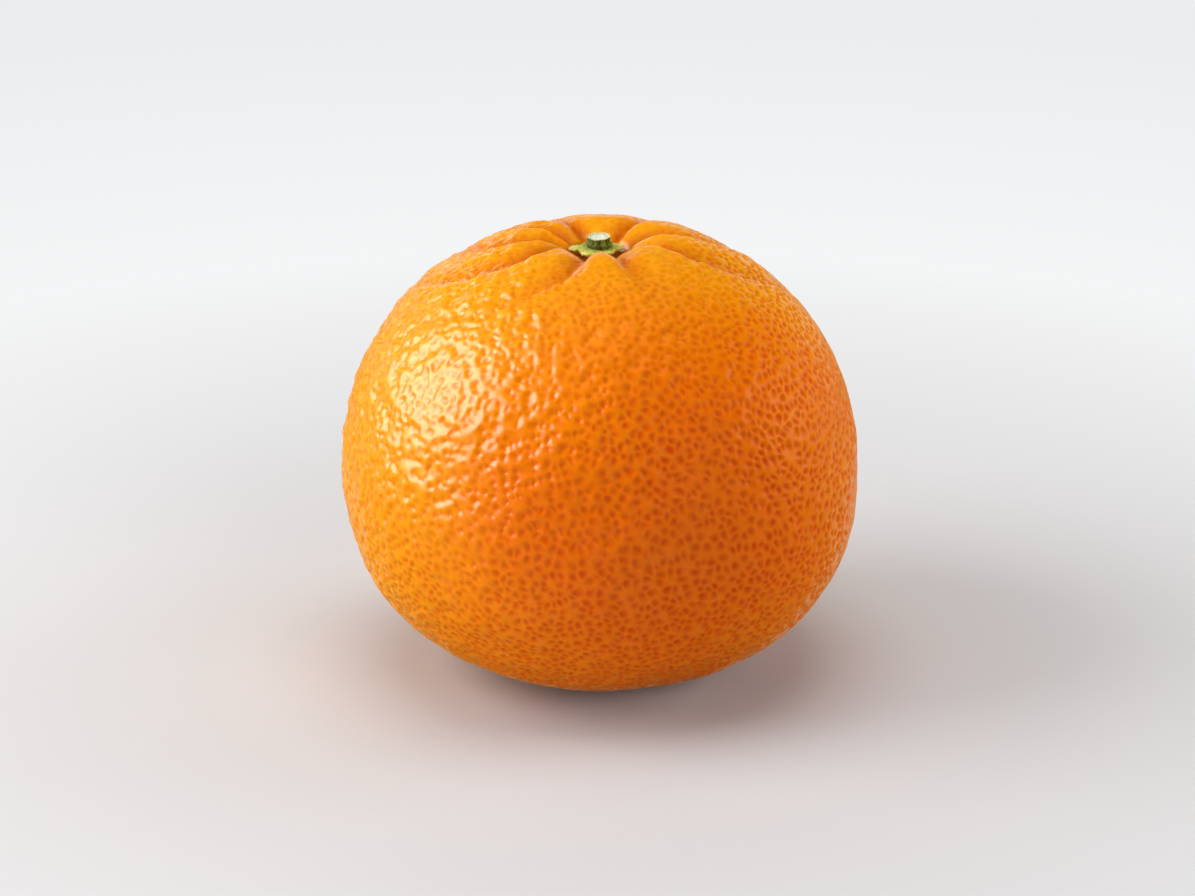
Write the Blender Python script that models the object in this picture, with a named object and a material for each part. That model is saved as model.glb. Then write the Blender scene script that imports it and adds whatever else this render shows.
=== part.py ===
"""A whole mandarin, standing on its blossom end, with its calyx and the cut stub of its stem.

Metres, +Z up. The origin is on the surface that the fruit rests on, under its middle. Seen from
the front, which is -Y, +X is to the right. The fruit, the calyx and the stem are three objects.
"""

import math

import bmesh
import bpy
from mathutils import Vector

# Skin: two half ovals, one above and one below the widest level, flattened where it rests.
WIDEST_RADIUS = 0.035
CROWN_RISE = 0.0334  # from the widest level up to the crown, before the stem end sinks in
BASE_DROP = 0.0293  # from the widest level down to the blossom end, before it is flattened
FLATTENED = 0.00065  # how much of the blossom end the resting spot takes away
CROWN_POWER = 2.08  # 2 is a plain ellipse, more is squarer
BASE_POWER = 2.33
WIDEST_LEVEL = BASE_DROP - FLATTENED
LEAN = 0.012  # the crown stands this share of its height off to -X
OUT_OF_ROUND = ((2, 0.005, 0.6), (3, 0.004, 2.1), (5, 0.002, 4.0))  # waves round, share, phase

# Stem end: a round pit whose rim is gathered into puffy lobes by creases that wander outwards.
PIT_FLOOR_RADIUS = 0.0036
PIT_DEPTH = 0.0034
PIT_REACH = 0.0034
PIT_POWER = 1.4
RIM_DROP = 0.0010  # the lobes end in a small step round the pit's floor
RIM_WIDTH = 0.0012
SEAT_RADIUS = 0.0020  # a low mound in the middle of the pit's floor carries the calyx
SEAT_RISE = 0.0004
CREASES = (  # degrees from +X seen from above, turn, bend, depth in mm, length in mm, skew
    (20, -24, 17, 1.70, 10.0, -0.4),
    (61, -10, 4, 1.50, 9.0, -0.3),
    (114, 4, 0, 1.50, 8.0, 0.0),
    (143, 6, 0, 1.50, 9.0, 0.4),
    (173, 30, -26, 1.60, 13.0, 0.4),
    (210, 24, -22, 1.85, 13.0, 0.45),
    (251, 20, -20, 1.65, 11.0, 0.3),
    (288, -2, 4, 1.50, 9.0, -0.3),
    (336, -12, 13, 1.70, 13.0, -0.45),
)
CREASE_START = 0.005  # radius where a crease has its first angle, and its full depth
CREASE_HALF_WIDTH = 0.0022
CREASE_WIDENING = 0.22  # how much half width it gains on its way out
CREASE_SOFTNESS = 0.12  # rounds off its bottom
CREASE_POWER = 1.8  # more makes its bottom narrower and the lobes puffier

# Blossom end: a small dimple in the middle of the resting spot.
DIMPLE_RADIUS = 0.0032
DIMPLE_DEPTH = 0.0007

SKIN_SEGMENTS = 90
SKIN_RINGS = 44
POLE_CROWDING = 0.36  # draws the rings together towards both ends, where the shape is finer

# Calyx: a thick star of five sepals on the mound in the pit.
GAP = 0.0003
SEPALS = (  # degrees from +X seen from above, length, half width in degrees
    (20, 0.00380, 22),
    (98, 0.00380, 24),
    (171, 0.00395, 17),
    (238, 0.00335, 21),
    (306, 0.00300, 19),
)
SEPAL_NOTCH_RADIUS = 0.00235
SEPAL_EDGE = 0.00025  # half the thickness at the tips
CALYX_RISE = 0.00045  # of the middle over the tips
CALYX_POWER = 1.5  # 1 is a cone, more is a dome
CALYX_SEGMENTS = 60
CALYX_RINGS = 12

# Stem: a short stub with a flared foot and a slanted cut.
STEM_RADIUS = 0.00158
STEM_FOOT_RADIUS = 0.00185
STEM_HEIGHT = 0.0009
STEM_EDGE = 0.00012
STEM_FLARE = 0.3  # share of the height over which the foot narrows
STEM_SEGMENTS = 28
CUT_SLANT = math.radians(5)
CUT_LOW_SIDE = math.radians(250)  # the side that the cut face slopes down to


def material(name, colour, roughness):
    made = bpy.data.materials.new(name)
    made.use_nodes = True
    shader = made.node_tree.nodes["Principled BSDF"]
    shader.inputs["Base Color"].default_value = (*colour, 1.0)
    shader.inputs["Roughness"].default_value = roughness
    shader.inputs["Metallic"].default_value = 0.0
    return made


def add_object(name, mesh_builder, finish):
    """One closed, smooth-shaded object made from a bmesh."""
    mesh = bpy.data.meshes.new(name)
    bmesh.ops.recalc_face_normals(mesh_builder, faces=mesh_builder.faces)
    mesh_builder.to_mesh(mesh)
    mesh_builder.free()
    mesh.shade_smooth()
    mesh.set_sharp_from_angle(angle=math.radians(50))
    mesh.materials.append(finish)
    made = bpy.data.objects.new(name, mesh)
    bpy.context.scene.collection.objects.link(made)
    return made


def smooth_step(value, start, end):
    share = min(max((value - start) / (end - start), 0.0), 1.0)
    return share * share * (3.0 - 2.0 * share)


def crease_drop(radius, azimuth):
    """How deep the creases are, in metres: each is a groove with its own wandering line."""
    from_start = radius - CREASE_START
    along = from_start / 0.010
    half_width = CREASE_HALF_WIDTH + CREASE_WIDENING * max(from_start, -0.0015)
    deepest = 0.0
    for angle, turn, bend, depth_mm, length_mm, skew in CREASES:
        line = math.radians(angle + turn * along + bend * along**2)
        aside = ((azimuth - line + math.pi) % math.tau - math.pi) * radius
        reach = half_width * (1.0 - skew * math.tanh(aside / 0.001))
        share = math.hypot(aside / reach, CREASE_SOFTNESS)
        section = max(1.0 - share, 0.0) ** CREASE_POWER
        fading = math.exp(-((max(from_start - 0.001, 0.0) / (length_mm / 1000.0)) ** 1.5))
        deepest = max(deepest, depth_mm / 1000.0 * section * fading)
    return deepest * smooth_step(from_start, -0.0022, 0.0008)


def stem_end_drop(radius, azimuth):
    """How far the skin lies below the plain oval, at a distance from the axis."""
    outwards = max(radius - PIT_FLOOR_RADIUS, 0.0)
    pit = PIT_DEPTH * math.exp(-((outwards / PIT_REACH) ** PIT_POWER))
    rim = RIM_DROP * (1.0 - smooth_step(outwards, 0.0, RIM_WIDTH))
    seat = SEAT_RISE * (1.0 - smooth_step(radius, 0.5 * SEAT_RADIUS, SEAT_RADIUS))
    return pit + rim - seat + crease_drop(radius, azimuth)


def skin_point(polar, azimuth):
    """The skin's point at an angle from the crown and an angle round the axis."""
    upper = polar < math.pi / 2.0
    power = 2.0 / (CROWN_POWER if upper else BASE_POWER)
    rise = CROWN_RISE if upper else -BASE_DROP
    radius = WIDEST_RADIUS * math.sin(polar) ** power
    height = WIDEST_LEVEL + rise * abs(math.cos(polar)) ** power
    if upper:
        # The oval is never above its height over the pit's floor, so that the floor is level.
        floor_share = max(radius, PIT_FLOOR_RADIUS) / WIDEST_RADIUS
        oval = (1.0 - floor_share**CROWN_POWER) ** (1.0 / CROWN_POWER)
        height = min(height, WIDEST_LEVEL + CROWN_RISE * oval)
        height -= stem_end_drop(radius, azimuth)
    else:
        height = max(height, 0.0)
        if radius < DIMPLE_RADIUS:
            height += DIMPLE_DEPTH * math.cos(math.pi / 2.0 * radius / DIMPLE_RADIUS) ** 2
    waves = sum(share * math.cos(count * azimuth + phase) for count, share, phase in OUT_OF_ROUND)
    radius *= 1.0 + waves * math.sin(polar) ** 2
    off_axis = -LEAN * (height - WIDEST_LEVEL)
    return Vector((radius * math.cos(azimuth) + off_axis, radius * math.sin(azimuth), height))


def fruit():
    """One solid: the peel outside, grown round the segments that it holds."""
    builder = bmesh.new()
    bmesh.ops.create_uvsphere(builder, u_segments=SKIN_SEGMENTS, v_segments=SKIN_RINGS, radius=1.0)
    for vertex in builder.verts:
        even = math.acos(min(max(vertex.co.z, -1.0), 1.0))
        polar = even - POLE_CROWDING * math.sin(2.0 * even)
        vertex.co = skin_point(polar, math.atan2(vertex.co.y, vertex.co.x))
    return add_object("fruit", builder, material("fruit_peel", (0.78, 0.22, 0.012), 0.38))


def calyx_middle():
    seat = skin_point(0.0, 0.0)
    return Vector((seat.x, seat.y, seat.z + GAP + SEPAL_EDGE))


def star_outline(azimuth):
    """The calyx's radius in a direction."""
    radius = SEPAL_NOTCH_RADIUS
    for angle, length, half_width in SEPALS:
        off = (math.degrees(azimuth) - angle + 180.0) % 360.0 - 180.0
        radius += (length - SEPAL_NOTCH_RADIUS) * math.exp(-((abs(off) / half_width) ** 1.5))
    return radius


def calyx():
    """A flattened ball whose outline is a star of five blunt sepals."""
    builder = bmesh.new()
    bmesh.ops.create_uvsphere(builder, u_segments=CALYX_SEGMENTS, v_segments=CALYX_RINGS, radius=1.0)
    middle = calyx_middle()
    for vertex in builder.verts:
        azimuth = math.atan2(vertex.co.y, vertex.co.x)
        outwards = min(math.hypot(vertex.co.x, vertex.co.y), 1.0)
        height = SEPAL_EDGE * vertex.co.z
        if vertex.co.z > 0.0:
            height += CALYX_RISE * (1.0 - outwards**CALYX_POWER)
        place = Vector((math.cos(azimuth), math.sin(azimuth), 0.0)) * star_outline(azimuth) * outwards
        vertex.co = middle + place + Vector((0.0, 0.0, height))
    return add_object("calyx", builder, material("calyx_green", (0.36, 0.38, 0.05), 0.6))


def stem():
    """A short round stub, flared at its foot, cut off at a slight slant: a profile spun round."""
    profile = (
        (0.0, 0.0),
        (STEM_FOOT_RADIUS, 0.0),
        (STEM_RADIUS, STEM_HEIGHT * STEM_FLARE),
        (STEM_RADIUS, STEM_HEIGHT - STEM_EDGE),
        (STEM_RADIUS - STEM_EDGE, STEM_HEIGHT),
        (0.0, STEM_HEIGHT),
    )
    builder = bmesh.new()
    points = [builder.verts.new((radius, 0.0, height)) for radius, height in profile]
    edges = [builder.edges.new(pair) for pair in zip(points, points[1:])]
    bmesh.ops.spin(
        builder,
        geom=points + edges,
        axis=(0.0, 0.0, 1.0),
        cent=(0.0, 0.0, 0.0),
        angle=math.tau,
        steps=STEM_SEGMENTS,
    )
    bmesh.ops.remove_doubles(builder, verts=builder.verts, dist=1e-6)
    downhill = Vector((math.cos(CUT_LOW_SIDE), math.sin(CUT_LOW_SIDE))) * math.tan(CUT_SLANT)
    for vertex in builder.verts:
        vertex.co.z -= downhill.dot(vertex.co.xy) * vertex.co.z / STEM_HEIGHT
    made = add_object("stem", builder, material("stem_green", (0.16, 0.21, 0.05), 0.7))
    made.location = calyx_middle() + Vector((0.0, 0.0, SEPAL_EDGE + CALYX_RISE + GAP))
    return made


def main():
    for old in list(bpy.data.objects):
        bpy.data.objects.remove(old)
    whole = bpy.data.objects.new("mandarin", None)
    bpy.context.scene.collection.objects.link(whole)
    for piece in (fruit(), calyx(), stem()):
        piece.parent = whole


main()
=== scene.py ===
"""The looks of the mandarin: its pitted, glossy peel, the waxy calyx and the fibrous stem stub.

Everything is in metres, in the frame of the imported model: +Z up, the front towards -Y. Lengths
that describe relief on the peel are given in millimetres and carry the unit in their names.
"""

import math

import bpy
import numpy as np
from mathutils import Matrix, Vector, kdtree


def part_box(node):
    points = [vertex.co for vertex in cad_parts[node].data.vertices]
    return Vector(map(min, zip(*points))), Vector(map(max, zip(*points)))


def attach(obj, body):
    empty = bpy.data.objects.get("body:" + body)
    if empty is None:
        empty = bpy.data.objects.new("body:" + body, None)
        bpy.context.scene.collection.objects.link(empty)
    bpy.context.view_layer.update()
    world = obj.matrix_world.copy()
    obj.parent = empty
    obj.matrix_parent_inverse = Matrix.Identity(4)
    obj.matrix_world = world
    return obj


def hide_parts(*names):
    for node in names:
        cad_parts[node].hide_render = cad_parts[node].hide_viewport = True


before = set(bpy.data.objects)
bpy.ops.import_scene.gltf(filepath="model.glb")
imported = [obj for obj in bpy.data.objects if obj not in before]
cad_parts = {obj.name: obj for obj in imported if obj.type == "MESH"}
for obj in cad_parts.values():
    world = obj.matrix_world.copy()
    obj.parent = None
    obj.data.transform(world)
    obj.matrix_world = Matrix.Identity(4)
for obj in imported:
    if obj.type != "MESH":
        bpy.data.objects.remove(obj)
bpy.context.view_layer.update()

MM = 0.001
BODY = "root"
RANDOM_SEED = 7

# Peel, as a whole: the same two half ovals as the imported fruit, resting at its lowest level.
FRUIT_LOW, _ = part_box("fruit")
WIDEST_RADIUS = 0.035
CROWN_RISE = 0.0334
BASE_DROP = 0.0293
FLATTENED = 0.00065  # height that the flat resting spot takes off the base
CROWN_POWER = 2.08
BASE_POWER = 2.33
WIDEST_LEVEL = BASE_DROP - FLATTENED
LEAN = 0.012  # how far the axis moves sideways for each unit of height
OUT_OF_ROUND = ((2, 0.005, 0.6), (3, 0.004, 2.1), (5, 0.002, 4.0))  # waves round, share, phase

# Stem end: a pit whose rim is gathered into lobes by creases that wander outwards.
PIT_FLOOR_RADIUS = 0.0036
PIT_DEPTH = 0.0034
PIT_REACH = 0.0034
PIT_POWER = 1.4
RIM_DROP = 0.0010
RIM_WIDTH = 0.0012
SEAT_RADIUS = 0.0020
SEAT_RISE = 0.0004
CREASES = (  # degrees from +X seen from above, turn, bend, depth in mm, length in mm, skew
    (20, -24, 17, 1.70, 10.0, -0.4),
    (61, -10, 4, 1.50, 9.0, -0.3),
    (114, 4, 0, 1.50, 8.0, 0.0),
    (143, 6, 0, 1.50, 9.0, 0.4),
    (173, 30, -26, 1.60, 13.0, 0.4),
    (210, 24, -22, 1.85, 13.0, 0.45),
    (251, 20, -20, 1.65, 11.0, 0.3),
    (288, -2, 4, 1.50, 9.0, -0.3),
    (336, -12, 13, 1.70, 13.0, -0.45),
)
CREASE_START_MM = 5.0  # radius where a crease has its first angle
CREASE_HALF_WIDTH_MM = 2.2
CREASE_WIDENING = 0.22
CREASE_SOFTNESS = 0.12  # rounds a crease's bottom, which takes off about a fifth of its depth
CREASE_POWER = 1.8

# Blossom end: a dimple in the middle of the resting spot.
DIMPLE_RADIUS = 0.0032
DIMPLE_DEPTH = 0.0007

# Directions from the middle of the fruit: the first to where the skin is painted the deepest orange,
# as painted shade on the front away from the key light; the second to where its relief is the
# roughest, on the side the key light falls on, where the pits' painted darkening fades as painted
# light.
DEEPEST_SHADE_WAY = np.array([0.40, -0.88, -0.15])
COARSEST_AND_LIT_WAY = np.array([-0.55, -0.30, 0.78])

# Fine mesh of the peel.
GRID = 240  # squares along each edge of the cube that is blown up into the fruit
POLE_CROWDING = 0.08  # how strongly the grid is drawn towards the stem end and the blossom end

# Relief of the peel, in millimetres. Each pit has a narrow pore in a wide, shallow basin.
PORE_SPACING_MM = 1.36
PORE_AREA_SHARE = 0.93  # area the pores share out, against a ball as wide as the fruit
PORE_SHAKE = 0.42  # how far a pore strays from an even spiral, as a share of the spacing
PORE_ELBOW_ROOM = 0.85  # pores nearer than this share of the spacing are pushed apart
PORE_RADIUS_MM = (0.36, 0.54)
PORE_DEPTH_MM = (0.07, 0.17)
PORE_DARKNESS = (0.35, 1.0)
CORE_RADIUS_MM = 0.42
BASIN_DEPTH_MM = 0.20
WARP_MM = 0.10  # how much the outlines of the pits waver
STEM_SIDE_RELIEF = 0.30  # depth of the pits beside the stem, against those elsewhere
LUMPS_MM = ((13.0, 0.07), (5.0, 0.03))  # wavelength and height of broad swellings
RUMPLE_MM = (2.6, 0.054)  # wavelength and height of the wrinkles, strongest on rough skin


def smooth_step(values, start, end):
    """From 0 at the start to 1 at the end, level at both."""
    share = np.clip((values - start) / (end - start), 0.0, 1.0)
    return share * share * (3.0 - 2.0 * share)


def ripples(points, wavelength, seed, waves=28):
    """A smooth random field with a mean of 0 and a spread of 1, from plane waves."""
    random = np.random.default_rng(RANDOM_SEED * 1000 + seed)
    ways = random.normal(size=(waves, 3))
    ways /= np.linalg.norm(ways, axis=1)[:, None]
    ways *= (2.0 * math.pi / wavelength) * random.uniform(0.65, 1.35, (waves, 1))
    phases = random.uniform(0.0, 2.0 * math.pi, waves)
    return np.sin(points @ ways.T + phases).sum(axis=1) * math.sqrt(2.0 / waves)


# ---------------------------------------------------------------- the shape of the fruit


def crease_drop(radius, azimuth):
    """How deep the creases are round the stem end, in millimetres."""
    from_start = radius / MM - CREASE_START_MM
    along = from_start / 10.0
    half_width = CREASE_HALF_WIDTH_MM + CREASE_WIDENING * np.maximum(from_start, -1.5)
    drop = np.zeros_like(radius)
    for angle, turn, bend, depth, length, skew in CREASES:
        line = math.radians(angle) + np.radians(turn * along + bend * along**2)
        aside = (azimuth - line + math.pi) % (2.0 * math.pi) - math.pi
        aside_mm = aside * radius / MM
        reach = half_width * (1.0 - skew * np.tanh(aside_mm))
        share = np.sqrt((aside_mm / reach) ** 2 + CREASE_SOFTNESS**2)
        section = np.maximum(1.0 - share, 0.0) ** CREASE_POWER
        fading = np.exp(-((np.maximum(from_start - 1.0, 0.0) / length) ** 1.5))
        drop = np.maximum(drop, depth * section * fading)
    return drop * smooth_step(from_start, -2.2, 0.8)


def stem_end_drop(radius, azimuth):
    """How far the skin sinks round the stem in metres, and the creases' own part in millimetres."""
    outwards = np.maximum(radius - PIT_FLOOR_RADIUS, 0.0)
    pit = PIT_DEPTH * np.exp(-((outwards / PIT_REACH) ** PIT_POWER))
    rim = RIM_DROP * (1.0 - smooth_step(outwards, 0.0, RIM_WIDTH))
    seat = SEAT_RISE * (1.0 - smooth_step(radius, 0.5 * SEAT_RADIUS, SEAT_RADIUS))
    crease = crease_drop(radius, azimuth)
    return pit + rim - seat + crease * MM, crease


def skin(directions):
    """Points of the smooth skin for unit directions, and how deep in a crease each lies."""
    even = np.arccos(np.clip(directions[:, 2], -1.0, 1.0))
    azimuth = np.arctan2(directions[:, 1], directions[:, 0])
    polar = even - POLE_CROWDING * np.sin(2.0 * even)
    upper = polar < math.pi / 2.0
    power = np.where(upper, 2.0 / CROWN_POWER, 2.0 / BASE_POWER)
    radius = WIDEST_RADIUS * np.sin(polar) ** power
    rise = np.where(upper, CROWN_RISE, -BASE_DROP)
    height = WIDEST_LEVEL + rise * np.abs(np.cos(polar)) ** power
    floor_share = PIT_FLOOR_RADIUS / WIDEST_RADIUS
    level = WIDEST_LEVEL + CROWN_RISE * (1.0 - floor_share**CROWN_POWER) ** (1.0 / CROWN_POWER)
    drop, crease = stem_end_drop(radius, azimuth)
    dimple = DIMPLE_DEPTH * np.cos(math.pi / 2.0 * np.minimum(radius / DIMPLE_RADIUS, 1.0)) ** 2
    height = np.where(upper, np.minimum(height, level) - drop, np.maximum(height, 0.0) + dimple)
    waves = sum(share * np.cos(count * azimuth + phase) for count, share, phase in OUT_OF_ROUND)
    radius = radius * (1.0 + waves * np.sin(polar) ** 2)
    off_axis = -LEAN * (height - WIDEST_LEVEL)
    points = np.stack(
        [radius * np.cos(azimuth) + off_axis, radius * np.sin(azimuth), height], axis=1
    )
    return points, np.where(upper, crease, 0.0)


def blown_up_cube(grid):
    """Unit directions on a fine cube grid, its squares, and their places on a 3 by 2 map."""
    steps = np.tan(np.linspace(-math.pi / 4.0, math.pi / 4.0, grid + 1))
    across, along = np.meshgrid(steps, steps, indexing="ij")
    number = np.arange((grid + 1) ** 2).reshape(grid + 1, grid + 1)
    corners = np.stack(
        [number[:-1, :-1], number[1:, :-1], number[1:, 1:], number[:-1, 1:]], axis=-1
    ).reshape(-1, 4)
    share = np.linspace(0.02, 0.98, grid + 1)
    map_across, map_along = np.meshgrid(share, share, indexing="ij")
    directions, squares, places = [], [], []
    sides = [(axis, sign) for sign in (1.0, -1.0) for axis in range(3)]
    for index, (axis, sign) in enumerate(sides):
        face = np.zeros((grid + 1, grid + 1, 3))
        face[..., axis] = sign
        face[..., (axis + 1) % 3] = across
        face[..., (axis + 2) % 3] = along * sign
        directions.append(face.reshape(-1, 3))
        squares.append(corners + index * (grid + 1) ** 2)
        column, row = index % 3, index // 3
        flat = np.stack([(map_across + column) / 3.0, (map_along + row) / 2.0], axis=-1)
        places.append(flat.reshape(-1, 2)[corners].reshape(-1, 2))
    directions = np.concatenate(directions)
    directions /= np.linalg.norm(directions, axis=1)[:, None]
    merged, index = np.unique(np.round(directions, 6), axis=0, return_inverse=True)
    merged /= np.linalg.norm(merged, axis=1)[:, None]
    return merged, index.reshape(-1)[np.concatenate(squares)], np.concatenate(places)


def point_normals(points, squares):
    """Unit normals of the points, from the squares round each."""
    first = points[squares[:, 2]] - points[squares[:, 0]]
    second = points[squares[:, 3]] - points[squares[:, 1]]
    facing = np.cross(first, second)
    normals = np.zeros_like(points)
    for axis in range(3):
        for corner in range(4):
            normals[:, axis] += np.bincount(
                squares[:, corner], weights=facing[:, axis], minlength=len(points)
            )
    return normals / np.linalg.norm(normals, axis=1)[:, None]


# ---------------------------------------------------------------- pores and relief


def nearest(tree, points, count):
    """Indices and distances of the nearest points in a tree, for every point."""
    found = [tree.find_n(point, count) for point in points.tolist()]
    indices = np.array([[item[1] for item in row] for row in found])
    distances = np.array([[item[2] for item in row] for row in found])
    return indices, distances


def tree_of(points):
    """A search tree of points, for nearest()."""
    tree = kdtree.KDTree(len(points))
    for index, point in enumerate(points.tolist()):
        tree.insert(point, index)
    tree.balance()
    return tree


def pore_places(area_mm2):
    """Unit directions of the oil-gland pits: an even spiral, shaken and then pushed apart."""
    count = int(area_mm2 / (0.866 * PORE_SPACING_MM**2))
    random = np.random.default_rng(RANDOM_SEED)
    turn = np.arange(count) * math.pi * (3.0 - math.sqrt(5.0))
    height = 1.0 - (2.0 * np.arange(count) + 1.0) / count
    ring = np.sqrt(1.0 - height**2)
    places = np.stack([ring * np.cos(turn), ring * np.sin(turn), height], axis=1)
    spacing = math.sqrt(4.0 * math.pi / count)
    places += random.normal(size=places.shape) * PORE_SHAKE * spacing
    places /= np.linalg.norm(places, axis=1)[:, None]
    for _ in range(2):
        indices, distances = nearest(tree_of(places), places, 5)
        push = np.zeros_like(places)
        for column in range(1, 5):
            away = places - places[indices[:, column]]
            close = np.maximum(PORE_ELBOW_ROOM * spacing - distances[:, column], 0.0)
            push += away * (0.4 * close / np.maximum(distances[:, column], 1e-9))[:, None]
        places += push
        places /= np.linalg.norm(places, axis=1)[:, None]
    return places


def peel_relief(points, radius):
    """Height of the peel's relief in metres, how far into a pit, and how near its core."""
    in_mm = points / MM
    area = 4.0 * math.pi * (WIDEST_RADIUS / MM) ** 2 * PORE_AREA_SHARE
    pores, _ = skin(pore_places(area))
    random = np.random.default_rng(RANDOM_SEED + 1)
    pore_depth = random.uniform(*PORE_DEPTH_MM, len(pores))
    pore_radius = random.uniform(*PORE_RADIUS_MM, len(pores))
    pore_darkness = random.uniform(*PORE_DARKNESS, len(pores))
    from_middle = in_mm - np.array([0.0, 0.0, WIDEST_LEVEL / MM])
    coarse_and_lit = smooth_step(from_middle @ COARSEST_AND_LIT_WAY + 4.0 * ripples(in_mm, 18.0, 40), 2.0, 28.0)
    warp = np.stack([ripples(in_mm, 1.9, 50 + axis) for axis in range(3)], axis=1)
    indices, distances = nearest(tree_of(pores / MM), in_mm + WARP_MM * warp, 4)
    near_stem = smooth_step(radius / MM, 7.0, 18.0)
    upper = points[:, 2] > WIDEST_LEVEL
    calm = np.where(upper, STEM_SIDE_RELIEF + (1.0 - STEM_SIDE_RELIEF) * near_stem, 1.0)
    width = pore_radius[indices] * (1.0 + 0.25 * coarse_and_lit[:, None])
    bowl = np.exp(-((distances / width) ** 2))
    deep = (bowl * pore_depth[indices]).sum(axis=1)
    between = distances[:, 0] / (distances[:, 0] + distances[:, 1])
    basin = 1.0 - smooth_step(between, 0.05, 0.5)
    shallow = BASIN_DEPTH_MM * basin * (1.0 - 0.8 * coarse_and_lit)
    height = -(shallow + deep * (0.45 + 1.15 * coarse_and_lit)) * calm
    for number, (wavelength, rise) in enumerate(LUMPS_MM):
        height += rise * ripples(in_mm, wavelength, number)
    wavelength, rise = RUMPLE_MM
    swell = (0.25 + 0.75 * coarse_and_lit) * (0.5 + 0.5 * calm)
    height += rise * swell * ripples(in_mm, wavelength, 10)
    # Painted colour of the pits: their basins darker, partly the glands' own colour and partly
    # painted shade in the recess; this darkening and the cores' darkening fade towards the lit side
    # as painted light.
    pit_tint_and_shade = basin * calm * (1.0 - 0.4 * coarse_and_lit)
    core = np.exp(-((distances[:, 0] / CORE_RADIUS_MM) ** 2)) * pore_darkness[indices[:, 0]]
    return height * MM, pit_tint_and_shade, core * (1.0 - 0.75 * coarse_and_lit) * calm


# ---------------------------------------------------------------- mesh helpers


def mesh_object(name, points, faces):
    """A smooth-shaded object in the scene, from an array of points and a list of faces."""
    mesh = bpy.data.meshes.new(name)
    mesh.from_pydata(points.tolist(), [], faces)
    mesh.shade_smooth()
    made = bpy.data.objects.new(name, mesh)
    bpy.context.scene.collection.objects.link(made)
    return made


def add_attribute(made, name, values):
    """A number for each point of an object, which its material reads by name."""
    attribute = made.data.attributes.new(name, "FLOAT", "POINT")
    attribute.data.foreach_set("value", values.astype(np.float32))


def lathe_faces(rings, segments):
    """Squares of a surface of closed rings, with rows of equal length."""
    row, column = np.meshgrid(np.arange(rings - 1), np.arange(segments), indexing="ij")
    following = (column + 1) % segments
    return np.stack(
        [
            row * segments + column,
            row * segments + following,
            (row + 1) * segments + following,
            (row + 1) * segments + column,
        ],
        axis=-1,
    ).reshape(-1, 4)


def closed_lathe(name, ring_points):
    """A closed object from rings of points, bottom ring first: its ends shut with one point."""
    rings, segments, _ = ring_points.shape
    body = ring_points.reshape(-1, 3)
    bottom = ring_points[0].mean(axis=0)
    top = ring_points[-1].mean(axis=0)
    points = np.concatenate([body, bottom[None], top[None]])
    faces = lathe_faces(rings, segments).tolist()
    last = (rings - 1) * segments
    for column in range(segments):
        following = (column + 1) % segments
        faces.append([following, column, len(body)])
        faces.append([last + column, last + following, len(body) + 1])
    return mesh_object(name, points, faces), points


# ---------------------------------------------------------------- pieces


def tone_and_painted_shade(points):
    """How deep an orange the skin is painted: painted shade, deepest on the front and lower right
    away from the key light, and painted light, palest at the back, left and top, with random patches
    of tone.
    """
    in_mm = (points - np.array([0.0, 0.0, WIDEST_LEVEL])) / MM
    towards = in_mm @ DEEPEST_SHADE_WAY / (WIDEST_RADIUS / MM)
    patches = 0.07 * ripples(in_mm, 30.0, 60)
    return np.clip(0.20 + 0.87 * towards + patches, 0.15, 1.0)


def build_peel():
    """The whole skin of the fruit, with its creases and pits."""
    directions, squares, places = blown_up_cube(GRID)
    points, crease = skin(directions)
    normals = point_normals(points, squares)
    radius = np.hypot(points[:, 0] + LEAN * (points[:, 2] - WIDEST_LEVEL), points[:, 1])
    height, pit_tint_and_shade, core = peel_relief(points, radius)
    lower = points[:, 2] < WIDEST_LEVEL
    height *= np.where(lower, smooth_step(radius, 0.5 * DIMPLE_RADIUS, DIMPLE_RADIUS), 1.0)
    points = points + normals * height[:, None]
    near_floor = lower & (radius > 0.8 * DIMPLE_RADIUS)
    points[near_floor, 2] = np.maximum(points[near_floor, 2], FRUIT_LOW.z)
    made = mesh_object("peel", points, squares.tolist())
    add_attribute(made, "pit_tint_and_shade", pit_tint_and_shade)
    add_attribute(made, "core", core)
    # Painted shade in the creases, darker the deeper they are.
    add_attribute(made, "crease", np.clip(crease, 0.0, 1.0))
    upper = points[:, 2] > WIDEST_LEVEL
    # Painted shade: the pit floor round the calyx, where shade falls under it.
    pit_floor_shade = 1.0 - smooth_step(radius / MM, 3.6, 4.8)
    add_attribute(made, "pit_floor_shade", np.where(upper, pit_floor_shade, 0.0))
    # Painted light and shade: the skin paler orange towards the key light and deeper away from it.
    add_attribute(made, "tone_and_painted_shade", tone_and_painted_shade(points))
    scar = 1.0 - smooth_step(radius, 0.2 * DIMPLE_RADIUS, 0.6 * DIMPLE_RADIUS)
    add_attribute(made, "scar", np.where(lower, scar, 0.0))
    layer = made.data.uv_layers.new(name="OFBake")
    layer.data.foreach_set("uv", places.astype(np.float32).ravel())
    made.data.materials.append(peel_material())
    return made


SEPALS = (  # degrees from +X seen from above, length in mm, half width in degrees
    (20, 3.8, 22),
    (98, 3.8, 24),
    (171, 3.95, 17),
    (238, 3.35, 21),
    (306, 3.0, 19),
)
SEPAL_NOTCH_MM = 2.35
SEPAL_HALF_THICK_MM = 0.25
SEPAL_DROOP = 0.020  # per millimetre, beyond the first 1.8 mm
COLLAR_RADIUS_MM = 1.5
COLLAR_RISE_MM = 0.55
COLLAR_FADE_MM = 0.55
COLLAR_UNDER_SHARE = 0.2  # how much of the collar's rise the underside follows
CALYX_LIFT = 0.00030
CALYX_SEGMENTS = 320
CALYX_RINGS = 64


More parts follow.
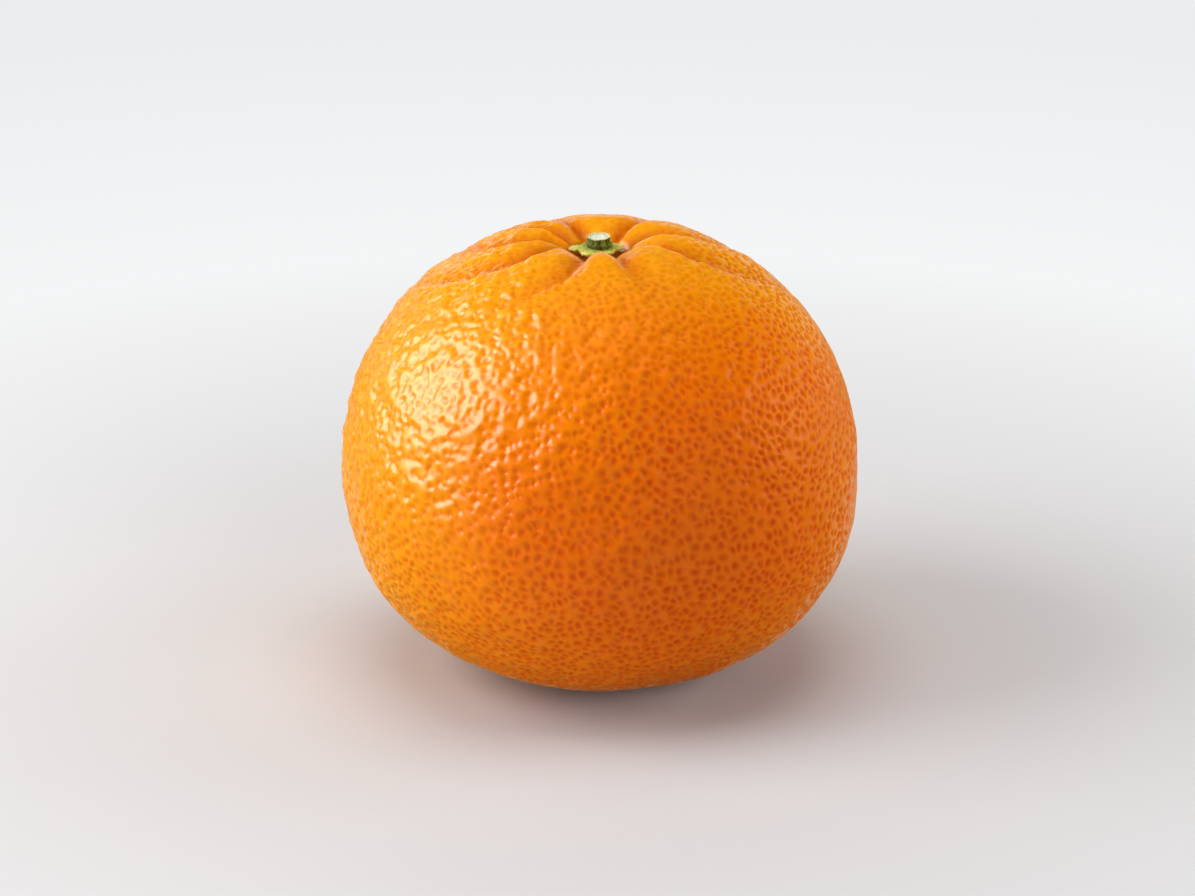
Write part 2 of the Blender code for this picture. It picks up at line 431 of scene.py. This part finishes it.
def build_calyx():
    """A star of five blunt sepals that rises to a collar round the stem."""
    low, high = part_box("calyx")
    middle = (low + high) / 2.0
    azimuth = np.linspace(0.0, 2.0 * math.pi, CALYX_SEGMENTS, endpoint=False)
    outline = np.full(CALYX_SEGMENTS, SEPAL_NOTCH_MM)
    for angle, length, half_width in SEPALS:
        off = (np.degrees(azimuth) - angle + 180.0) % 360.0 - 180.0
        blunt = np.sqrt(off**2 + 25.0) - 5.0
        outline += (length - SEPAL_NOTCH_MM) * np.exp(-((blunt / half_width) ** 1.5))
    flat_circle = np.stack([np.cos(azimuth), np.sin(azimuth), np.zeros_like(azimuth)], axis=1)
    outline *= 1.0 + 0.018 * ripples(flat_circle * 4.0, 1.6, 70)
    turn = np.linspace(-0.5 * math.pi, 0.5 * math.pi, CALYX_RINGS)
    rings = []
    for angle in turn:
        outwards = math.cos(angle) ** 0.35
        radius = outline * outwards
        side = math.sin(angle)
        height = SEPAL_HALF_THICK_MM * math.copysign(abs(side) ** 0.5, side)
        droop = SEPAL_DROOP * np.maximum(radius - 1.8, 0.0) ** 2
        beyond = np.maximum(radius - COLLAR_RADIUS_MM, 0.0)
        collar = COLLAR_RISE_MM * np.exp(-beyond / COLLAR_FADE_MM)
        ring = flat_circle * radius[:, None]
        followed = 1.0 if side > 0.0 else COLLAR_UNDER_SHARE
        ring[:, 2] = height + (collar * followed - droop)
        rings.append(ring)
    rings = np.array(rings)
    flat = rings.reshape(-1, 3)
    grain = 0.030 * ripples(flat, 0.75, 71) + 0.016 * ripples(flat, 0.36, 72)
    shape = flat + grain[:, None] * np.array([0.35, 0.35, 1.0])
    shape = shape.reshape(rings.shape) * MM + np.array([middle.x, middle.y, low.z + CALYX_LIFT])
    made, points = closed_lathe("calyx_star", shape)
    reach = np.hypot(points[:, 0] - middle.x, points[:, 1] - middle.y) / MM
    add_attribute(made, "reach", smooth_step(reach, 1.5, 4.2))
    made.data.materials.append(calyx_material())
    return made


STEM_RADIUS_MM = 1.58
STEM_FOOT_MM = -0.55  # the stub goes this far down into the collar of the calyx
STEM_SEGMENTS = 192
STEM_SIDE_RINGS = 26
STEM_CUT_RINGS = 30
CUT_SLANT = math.tan(math.radians(5.0))
CUT_LOW_SIDE = math.radians(250.0)


def stem_profile(height_mm):
    """Radius and height of each ring in millimetres: the foot, up the side, then over the cut."""
    profile = [(0.25, STEM_FOOT_MM), (STEM_RADIUS_MM + 0.05, STEM_FOOT_MM)]
    for share in np.linspace(0.0, 1.0, STEM_SIDE_RINGS):
        flare = 0.30 * math.exp(-share * 7.0)
        lip = 0.05 * math.exp(-((1.0 - share) * 6.0))
        profile.append((STEM_RADIUS_MM - 0.05 + flare + lip, height_mm * share))
    first_cut_ring = len(profile)
    for share in np.linspace(0.0, 0.94, STEM_CUT_RINGS)[1:]:
        rim = 0.05 * math.exp(-((share / 0.05) ** 2))
        sunk = 0.10 * smooth_step(np.array(share), 0.02, 0.16)
        profile.append((STEM_RADIUS_MM * (1.0 - share), height_mm + rim - float(sunk)))
    return profile, first_cut_ring


def build_stem():
    """The ribbed stub of the stalk, with a pale, slightly slanted cut."""
    low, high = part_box("stem")
    middle = (low + high) / 2.0
    height_mm = (high.z - low.z) / MM - 0.12
    profile, first_cut_ring = stem_profile(height_mm)
    azimuth = np.linspace(0.0, 2.0 * math.pi, STEM_SEGMENTS, endpoint=False)
    circle = np.stack([np.cos(azimuth), np.sin(azimuth), np.zeros_like(azimuth)], axis=1)
    ribs = 0.045 * ripples(circle * 3.0, 1.1, 80) + 0.02 * ripples(circle * 3.0, 0.5, 81)
    rings = []
    for radius, height in profile:
        outward = radius + ribs * min(radius / STEM_RADIUS_MM, 1.0) ** 3
        ring = circle * outward[:, None]
        downhill = ring[:, 0] * math.cos(CUT_LOW_SIDE) + ring[:, 1] * math.sin(CUT_LOW_SIDE)
        ring[:, 2] = height - CUT_SLANT * downhill * max(height, 0.0) / height_mm
        rings.append(ring)
    rings = np.array(rings)
    flat = rings.reshape(-1, 3)
    rough = 0.014 * ripples(flat, 0.45, 82) + 0.009 * ripples(flat, 0.22, 83)
    flat = flat + rough[:, None] * np.array([0.6, 0.6, 1.0])
    shape = flat.reshape(rings.shape) * MM + np.array([middle.x, middle.y, low.z])
    made, points = closed_lathe("stem_stub", shape)
    across = np.hypot(points[:, 0] - middle.x, points[:, 1] - middle.y) / (STEM_RADIUS_MM * MM)
    on_cut = np.zeros(len(points))
    on_cut[first_cut_ring * STEM_SEGMENTS :] = 1.0
    on_cut[-2] = 0.0  # the middle of the foot
    add_attribute(made, "cut", on_cut)
    add_attribute(made, "across", np.clip(across, 0.0, 1.2))
    made.data.materials.append(stem_material())
    return made


# ---------------------------------------------------------------- materials


class Nodes:
    """Short words for building a material's node tree."""

    def __init__(self, name):
        self.material = bpy.data.materials.new(name)
        self.material.use_nodes = True
        self.tree = self.material.node_tree
        self.shader = self.tree.nodes["Principled BSDF"]
        self.coordinates = self.tree.nodes.new("ShaderNodeTexCoord").outputs["Object"]

    def link(self, source, target):
        self.tree.links.new(source, target)

    def attribute(self, name):
        node = self.tree.nodes.new("ShaderNodeAttribute")
        node.attribute_name = name
        return node.outputs["Fac"]

    def noise(self, scale, detail=3.0, roughness=0.5, stretch=(1.0, 1.0, 1.0)):
        mapping = self.tree.nodes.new("ShaderNodeMapping")
        mapping.inputs["Scale"].default_value = stretch
        self.link(self.coordinates, mapping.inputs["Vector"])
        node = self.tree.nodes.new("ShaderNodeTexNoise")
        node.inputs["Scale"].default_value = scale
        node.inputs["Detail"].default_value = detail
        node.inputs["Roughness"].default_value = roughness
        self.link(mapping.outputs["Vector"], node.inputs["Vector"])
        return node.outputs["Fac"]

    def ramp(self, source, stops):
        """Colours or grey levels along a value: stops are (place, colour) pairs."""
        node = self.tree.nodes.new("ShaderNodeValToRGB")
        elements = node.color_ramp.elements
        while len(elements) < len(stops):
            elements.new(0.5)
        for element, (place, colour) in zip(elements, stops):
            level = colour if isinstance(colour, tuple) else (colour,) * 3
            element.position = place
            element.color = (*level, 1.0)
        self.link(source, node.inputs["Fac"])
        return node.outputs["Color"]

    def mix(self, share, first, second, blend="MIX"):
        """Two colours mixed: the share is how much the second one counts."""
        node = self.tree.nodes.new("ShaderNodeMix")
        node.data_type = "RGBA"
        node.blend_type = blend
        for value, place in ((share, 0), (first, 6), (second, 7)):
            if isinstance(value, bpy.types.NodeSocket):
                self.link(value, node.inputs[place])
            elif isinstance(value, tuple):
                node.inputs[place].default_value = (*value, 1.0)
            else:
                node.inputs[place].default_value = value
        return node.outputs[2]

    def maths(self, operation, first, second):
        node = self.tree.nodes.new("ShaderNodeMath")
        node.operation = operation
        for value, place in ((first, 0), (second, 1)):
            if isinstance(value, bpy.types.NodeSocket):
                self.link(value, node.inputs[place])
            else:
                node.inputs[place].default_value = value
        return node.outputs["Value"]

    def bump(self, height, distance, strength=1.0):
        node = self.tree.nodes.new("ShaderNodeBump")
        node.inputs["Strength"].default_value = strength
        node.inputs["Distance"].default_value = distance
        self.link(height, node.inputs["Height"])
        self.link(node.outputs["Normal"], self.shader.inputs["Normal"])

    def finish(self, colour, roughness, **constants):
        """The material, with its colour and roughness linked and its constant inputs set by name."""
        self.link(colour, self.shader.inputs["Base Color"])
        self.link(roughness, self.shader.inputs["Roughness"])
        for name, value in constants.items():
            self.shader.inputs[name.replace("_", " ")].default_value = value
        return self.material


# Colours of the skin from the palest to the deepest orange: painted light where the key light falls,
# painted shade away from it.
LIT_TO_SHADED_ORANGES = (
    (0.0, (0.86, 0.350, 0.0030)),
    (0.45, (0.84, 0.303, 0.0020)),
    (0.70, (0.82, 0.224, 0.0012)),
    (0.93, (0.79, 0.168, 0.0006)),
    (1.0, (0.79, 0.158, 0.0006)),
)
PEEL_TINTS_AND_SHADE = (  # attribute, how much of the tint each value of it gives, tint
    # Pits' basins: partly the glands' own colour, partly painted shade in the recess.
    ("pit_tint_and_shade", ((0.0, 0.0), (0.14, 0.4), (1.0, 1.0)), (0.87, 0.62, 0.5)),
    ("core", ((0.08, 0.0), (0.95, 1.0)), (0.92, 0.57, 0.4)),
    # Creases: painted shade, darker the deeper the crease.
    ("crease", ((0.10, 0.0), (1.0, 1.0)), (0.72, 0.42, 0.4)),
)


def peel_material():
    """Glossy, slightly translucent orange skin: painted paler where the key light falls and deeper
    away from it, darker in its pits, partly their own colour and partly painted shade, and with
    painted shade in its creases and round the calyx.
    """
    nodes = Nodes("peel_skin")
    # Painted light and shade: base colour paler on the lit side, deeper on the shaded front.
    colour = nodes.ramp(nodes.attribute("tone_and_painted_shade"), LIT_TO_SHADED_ORANGES)
    speckle = nodes.ramp(nodes.noise(1700.0, detail=2.0), ((0.45, 0.0), (0.75, 1.0)))
    colour = nodes.mix(speckle, colour, (1.03, 1.10, 1.2), "MULTIPLY")
    for name, stops, tint in PEEL_TINTS_AND_SHADE:
        share = nodes.ramp(nodes.attribute(name), stops)
        colour = nodes.mix(share, colour, tint, "MULTIPLY")
    # Painted shade: the pit floor under the calyx painted dark red-brown.
    colour = nodes.mix(nodes.attribute("pit_floor_shade"), colour, (0.30, 0.05, 0.002))
    colour = nodes.mix(nodes.attribute("scar"), colour, (0.30, 0.15, 0.04))
    gloss = nodes.noise(420.0, detail=3.0)
    roughness = nodes.ramp(gloss, ((0.3, 0.21), (0.7, 0.30)))
    grain = nodes.noise(2600.0, detail=3.0, roughness=0.6)
    nodes.bump(grain, 0.00003, 0.3)
    material = nodes.finish(
        colour,
        roughness,
        Specular_IOR_Level=0.35,
        Subsurface_Weight=0.45,
        Subsurface_Scale=0.001,
        Sheen_Weight=0.22,
        Sheen_Roughness=0.35,
    )
    nodes.shader.inputs["Subsurface Radius"].default_value = (1.0, 0.30, 0.04)
    nodes.shader.inputs["Specular Tint"].default_value = (1.0, 0.78, 0.82, 1.0)
    nodes.shader.inputs["Sheen Tint"].default_value = (1.0, 0.60, 0.28, 1.0)
    return material


SEPAL_COLOURS = (  # from the collar to the tips
    (0.0, (0.16, 0.21, 0.03)),
    (0.35, (0.55, 0.56, 0.07)),
    (0.8, (0.78, 0.70, 0.13)),
    (1.0, (0.62, 0.42, 0.13)),
)


def calyx_material():
    """Waxy green that yellows along the sepals and browns at their tips."""
    nodes = Nodes("calyx_wax")
    colour = nodes.ramp(nodes.attribute("reach"), SEPAL_COLOURS)
    spots = nodes.noise(2600.0, detail=4.0, roughness=0.65)
    colour = nodes.mix(nodes.ramp(spots, ((0.35, 0.8), (0.6, 0.0))), colour, (0.20, 0.20, 0.02))
    light = nodes.noise(1700.0, detail=3.0)
    colour = nodes.mix(nodes.ramp(light, ((0.52, 0.0), (0.72, 0.8))), colour, (0.70, 0.66, 0.22))
    roughness = nodes.ramp(spots, ((0.3, 0.62), (0.7, 0.42)))
    nodes.bump(spots, 0.00012, 0.8)
    return nodes.finish(colour, roughness, Specular_IOR_Level=0.25)


BARK_COLOURS = (
    (0.3, (0.022, 0.026, 0.002)),
    (0.5, (0.10, 0.12, 0.010)),
    (0.72, (0.40, 0.44, 0.06)),
)
WOOD_COLOURS = (
    (0.32, (0.26, 0.29, 0.15)),
    (0.5, (0.68, 0.69, 0.52)),
    (0.66, (0.90, 0.90, 0.80)),
)


def stem_material():
    """Streaked green bark round a pale cut, with a green ring and a tan edge."""
    nodes = Nodes("stem_fibre")
    streaks = nodes.noise(1900.0, detail=4.0, roughness=0.65, stretch=(1.0, 1.0, 0.22))
    bark = nodes.ramp(streaks, BARK_COLOURS)
    fibres = nodes.noise(3200.0, detail=4.0, roughness=0.7)
    wood = nodes.ramp(fibres, WOOD_COLOURS)
    across = nodes.attribute("across")
    edge = nodes.ramp(across, ((0.80, 0.0), (0.90, 1.0)))
    wood = nodes.mix(edge, wood, (0.62, 0.48, 0.20))
    green_ring = nodes.ramp(across, ((0.62, 0.0), (0.74, 0.55), (0.84, 0.0)))
    wood = nodes.mix(green_ring, wood, (0.22, 0.27, 0.07))
    colour = nodes.mix(nodes.attribute("cut"), bark, wood)
    roughness = nodes.ramp(fibres, ((0.3, 0.75), (0.7, 0.5)))
    nodes.bump(fibres, 0.00010, 0.8)
    return nodes.finish(colour, roughness, Specular_IOR_Level=0.15)


# ---------------------------------------------------------------- stage, light and camera

FLOOR_RADIUS = 1.2
FLOOR_CORNERS = 96
FLOOR_COLOUR = (0.58, 0.57, 0.57, 1.0)
FADE_START, FADE_END, GLOW_END = 0.055, 0.20, 0.42  # distances from the fruit along the floor
GLOW_NEAR = (0.955, 0.96, 0.965)
GLOW_FAR = (0.83, 0.84, 0.85)
FILL = 0.015
SOFT_BOXES = (  # name, place, width and height, brightness, mirrored in the skin, lighting it
    ("key", (-0.42, -0.06, 0.30), (0.40, 0.40), 4.1, False, True),
    ("key_sheen", (-0.46, -0.05, 0.26), (0.62, 0.50), 4.6, True, False),
    ("key_core", (-0.45, -0.06, 0.26), (0.40, 0.32), 5.2, True, False),
    ("left_fill", (-0.75, -0.35, 0.08), (0.50, 0.30), 7.2, False, True),
    ("right_fill", (0.76, 0.20, 0.24), (0.50, 0.40), 5.1, False, True),
    ("right_sheen", (0.52, 0.03, 0.18), (0.30, 0.28), 0.9, True, False),
    ("front_fill", (0.55, -0.80, 0.42), (0.80, 0.60), 2.4, False, True),
    ("overhead_fill", (0.0, 0.0, 0.95), (0.80, 0.80), 2.6, False, True),
    ("back_fill", (0.10, 0.90, 0.35), (0.90, 0.60), 1.2, False, True),
    ("rim_sheen", (0.0, 0.60, 0.10), (2.00, 0.26), 0.45, True, False),
    ("shoulder_sheen", (-0.26, 0.62, 0.32), (0.20, 0.16), 1.8, True, False),
    ("floor_sheen", (0.0, 0.50, -0.22), (1.90, 0.28), 0.5, True, False),
)
FLOOR_SHEEN_COLOUR = (1.0, 0.80, 0.62)  # the floor near the fruit takes on some of its colour
CAMERA_ELEVATION = math.radians(19.5)
CAMERA_DISTANCE = 0.453
CAMERA_LENS = 100.0
CAMERA_TARGET = Vector((-0.0005, 0.0, 0.0304))


def build_floor():
    """A pale floor that fades into the bright surroundings.

    The skin doesn't mirror it: the light named floor_sheen stands in for its shine.
    """
    turn = np.linspace(0.0, 2.0 * math.pi, FLOOR_CORNERS, endpoint=False)
    edge = FLOOR_RADIUS * np.stack([np.cos(turn), np.sin(turn), np.zeros_like(turn)], axis=1)
    points = np.concatenate([np.zeros((1, 3)), edge])
    corners = range(FLOOR_CORNERS)
    faces = [(0, 1 + corner, 1 + (corner + 1) % FLOOR_CORNERS) for corner in corners]
    floor = mesh_object("floor", points, faces)
    nodes = Nodes("floor_pale")
    tree = nodes.tree
    nodes.shader.inputs["Base Color"].default_value = FLOOR_COLOUR
    nodes.shader.inputs["Roughness"].default_value = 0.9
    nodes.shader.inputs["Specular IOR Level"].default_value = 0.0
    distance = tree.nodes.new("ShaderNodeVectorMath")
    distance.operation = "LENGTH"
    nodes.link(nodes.coordinates, distance.inputs[0])
    reach = nodes.maths("DIVIDE", distance.outputs["Value"], FLOOR_RADIUS)
    start, end, glow_end = (place / FLOOR_RADIUS for place in (FADE_START, FADE_END, GLOW_END))
    fade = nodes.ramp(reach, ((start, 0.0), (end, 1.0)))
    seen = tree.nodes.new("ShaderNodeLightPath").outputs["Is Camera Ray"]
    glow = tree.nodes.new("ShaderNodeEmission")
    glow_colour = nodes.ramp(reach, ((start, GLOW_NEAR), (glow_end, GLOW_FAR)))
    nodes.link(glow_colour, glow.inputs["Color"])
    mixer = tree.nodes.new("ShaderNodeMixShader")
    nodes.link(nodes.maths("MULTIPLY", fade, seen), mixer.inputs["Fac"])
    nodes.link(nodes.shader.outputs["BSDF"], mixer.inputs[1])
    nodes.link(glow.outputs["Emission"], mixer.inputs[2])
    nodes.link(mixer.outputs["Shader"], tree.nodes["Material Output"].inputs["Surface"])
    floor.data.materials.append(nodes.material)
    floor.visible_glossy = False


def add_soft_box(name, place, size, brightness, mirrored, lighting):
    """A soft light of even brightness, aimed at the fruit, that lights it or is mirrored in it."""
    light = bpy.data.lights.new(name, "AREA")
    light.shape = "ELLIPSE"
    light.size, light.size_y = size
    light.energy = brightness * math.pi * size[0] * size[1]
    made = bpy.data.objects.new(name, light)
    made.location = place
    aim = Vector((0.0, 0.0, WIDEST_LEVEL)) - Vector(place)
    made.rotation_euler = aim.to_track_quat("-Z", "Y").to_euler()
    made.visible_camera = False
    made.visible_glossy = mirrored
    made.visible_diffuse = lighting
    bpy.context.scene.collection.objects.link(made)


def add_world():
    """Bright plain surroundings to the camera, and an even fill that the skin doesn't mirror."""
    world = bpy.data.worlds.new("studio")
    bpy.context.scene.world = world
    world.use_nodes = True
    world.cycles_visibility.glossy = False
    tree = world.node_tree
    path = tree.nodes.new("ShaderNodeLightPath")
    fill = tree.nodes["Background"]
    fill.inputs["Color"].default_value = (FILL, FILL, FILL, 1.0)
    seen = tree.nodes.new("ShaderNodeBackground")
    seen.inputs["Color"].default_value = (*GLOW_FAR, 1.0)
    choice = tree.nodes.new("ShaderNodeMixShader")
    tree.links.new(path.outputs["Is Camera Ray"], choice.inputs["Fac"])
    tree.links.new(fill.outputs["Background"], choice.inputs[1])
    tree.links.new(seen.outputs["Background"], choice.inputs[2])
    tree.links.new(choice.outputs["Shader"], tree.nodes["World Output"].inputs["Surface"])


def add_camera():
    """The camera in front of the fruit, looking down on it."""
    camera = bpy.data.cameras.new("camera")
    camera.lens = CAMERA_LENS
    camera.sensor_width = 36.0
    made = bpy.data.objects.new("camera", camera)
    back = Vector((0.0, -math.cos(CAMERA_ELEVATION), math.sin(CAMERA_ELEVATION)))
    made.location = Vector((0.0, 0.0, CAMERA_TARGET.z)) + back * CAMERA_DISTANCE
    made.rotation_euler = (CAMERA_TARGET - made.location).to_track_quat("-Z", "Y").to_euler()
    bpy.context.scene.collection.objects.link(made)
    bpy.context.scene.camera = made


PIECES = (
    (build_peel, "fruit", "fruit_peel"),
    (build_calyx, "calyx", "calyx_green"),
    (build_stem, "stem", "stem_green"),
)
for build, node, slot in PIECES:
    piece = build()
    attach(piece, BODY)
    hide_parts(node)

build_floor()
add_world()
for soft_box in SOFT_BOXES:
    add_soft_box(*soft_box)
bpy.data.lights["floor_sheen"].color = FLOOR_SHEEN_COLOUR
add_camera()
bpy.context.scene.view_settings.view_transform = "Standard"
